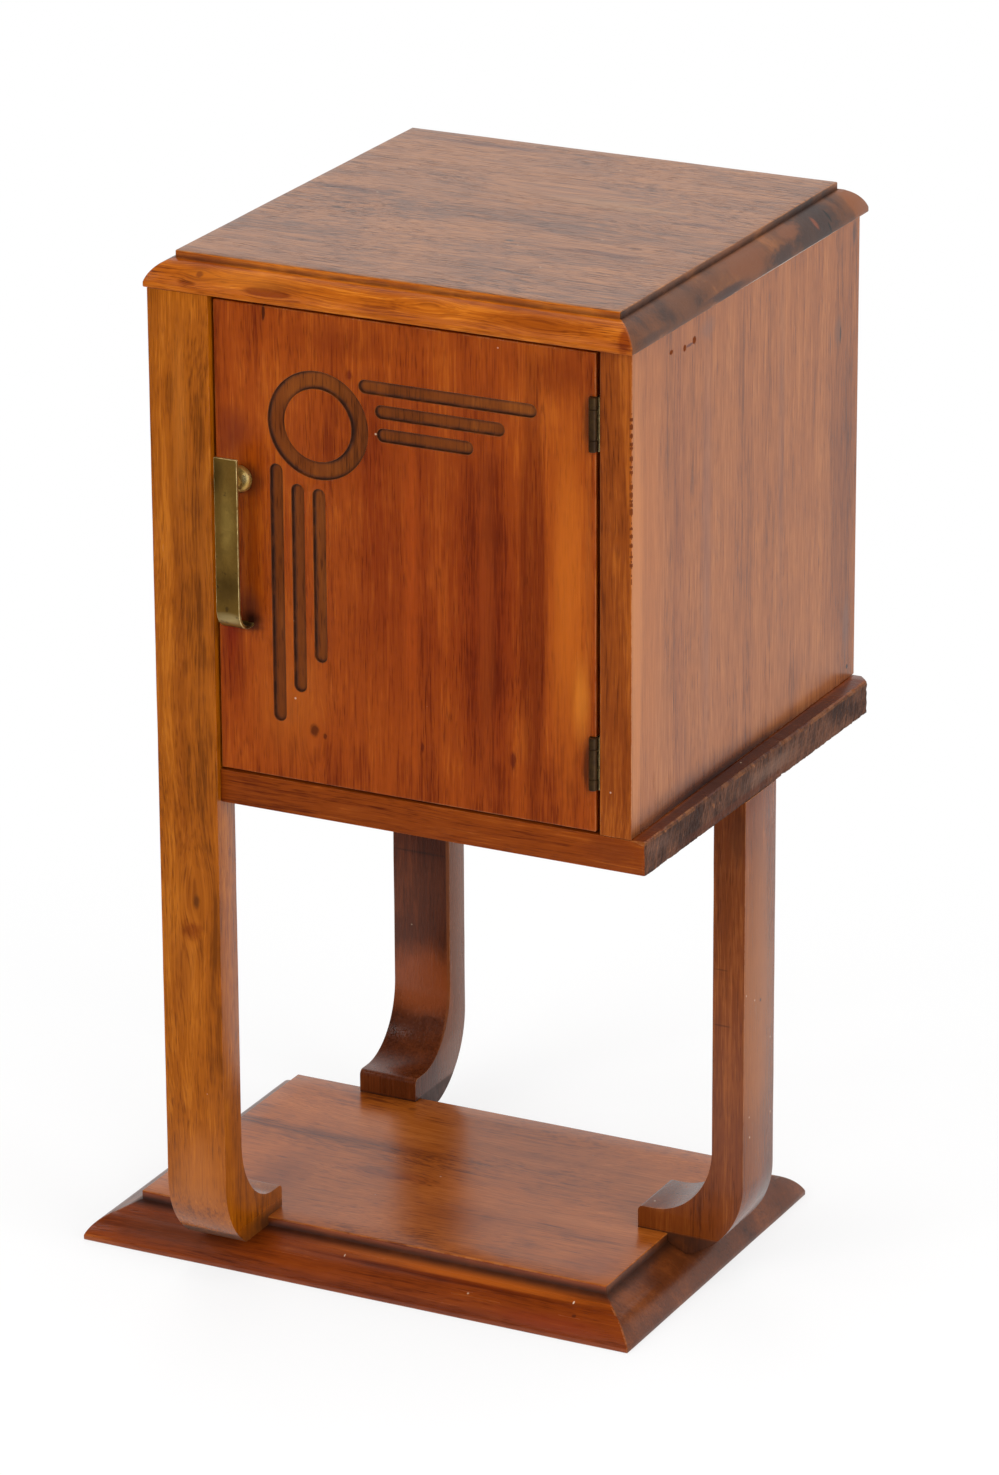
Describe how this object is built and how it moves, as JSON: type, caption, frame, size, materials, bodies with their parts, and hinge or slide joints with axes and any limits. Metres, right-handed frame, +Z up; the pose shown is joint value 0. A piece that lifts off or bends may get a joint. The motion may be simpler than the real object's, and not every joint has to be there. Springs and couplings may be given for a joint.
{
  "type": "side cabinet",
  "caption": "Small side cabinet with an inset hinged door, standing on scrolled legs over a moulded base board.",
  "frame": {"origin": "on the floor, under the middle of the whole cabinet's box, strap handle included", "axes": "+Z up along the cabinet's height, the door faces -Y, +X towards the door's hinged edge"},
  "size_m": [0.4594, 0.392, 0.75],
  "materials": {
    "orange_timber": "satin varnish, orange-brown",
    "yellow_timber": "satin varnish, yellow-brown, vertical grain",
    "door_timber": "satin varnish, red-brown",
    "faded_timber": "faded, low gloss, fine vertical pores",
    "dark_timber": "satin varnish, dark red-brown",
    "plain_timber": "bare, planed",
    "aged_brass": "dull olive with worn bright edges",
    "steel": "plain",
    "catch_plastic": "brown"
  },
  "bodies": {
    "carcass": {"back_left_leg": "dark_timber", "back_left_leg_screw": "steel", "back_leg_dowel_first": "plain_timber", "back_leg_dowel_second": "plain_timber", "back_panel": "plain_timber", "back_panel_left_pin": "steel", "back_panel_middle_pin": "steel", "back_panel_right_pin": "steel", "back_top_rail": "plain_timber", "back_top_rail_left_screw": "steel", "back_top_rail_right_screw": "steel", "base_board": "orange_timber", "bottom_board": "dark_timber", "catch_case": "catch_plastic", "catch_left_screw": "steel", "catch_right_screw": "steel", "front_left_leg": "yellow_timber", "front_left_leg_screw": "steel", "front_leg_dowel_first": "plain_timber", "front_leg_dowel_second": "plain_timber", "front_right_post": "orange_timber", "front_top_rail": "plain_timber", "front_top_rail_left_screw": "steel", "front_top_rail_right_screw": "steel", "left_cleat_back_screw": "steel", "left_cleat_front_screw": "steel", "left_shelf_cleat": "plain_timber", "left_side_panel": "faded_timber", "lower_hinge_frame_leaf": "aged_brass", "lower_hinge_frame_lower_screw": "aged_brass", "lower_hinge_frame_upper_screw": "aged_brass", "lower_hinge_pin": "aged_brass", "right_cleat_back_screw": "steel", "right_cleat_front_screw": "steel", "right_leg": "orange_timber", "right_leg_dowel_first": "plain_timber", "right_leg_dowel_second": "plain_timber", "right_leg_screw": "steel", "right_shelf_cleat": "plain_timber", "right_side_panel": "faded_timber", "shelf": "plain_timber", "top_board": "orange_timber", "upper_hinge_frame_leaf": "aged_brass", "upper_hinge_frame_lower_screw": "aged_brass", "upper_hinge_frame_upper_screw": "aged_brass", "upper_hinge_pin": "aged_brass"},
    "door": {"catch_plate": "steel", "catch_plate_screw": "steel", "door_panel": "door_timber", "handle_post": "aged_brass", "handle_screw": "steel", "handle_strap": "aged_brass", "lower_hinge_door_leaf": "aged_brass", "lower_hinge_door_lower_screw": "aged_brass", "lower_hinge_door_upper_screw": "aged_brass", "upper_hinge_door_leaf": "aged_brass", "upper_hinge_door_lower_screw": "aged_brass", "upper_hinge_door_upper_screw": "aged_brass"}
  },
  "joints": [
    {"name": "door_hinge", "type": "hinge", "parent": "carcass", "child": "door", "pos_m": [0.18779, -0.177, 0.55725], "axis": [0, 0, 1], "range_deg": [0, 170]}
  ]
}
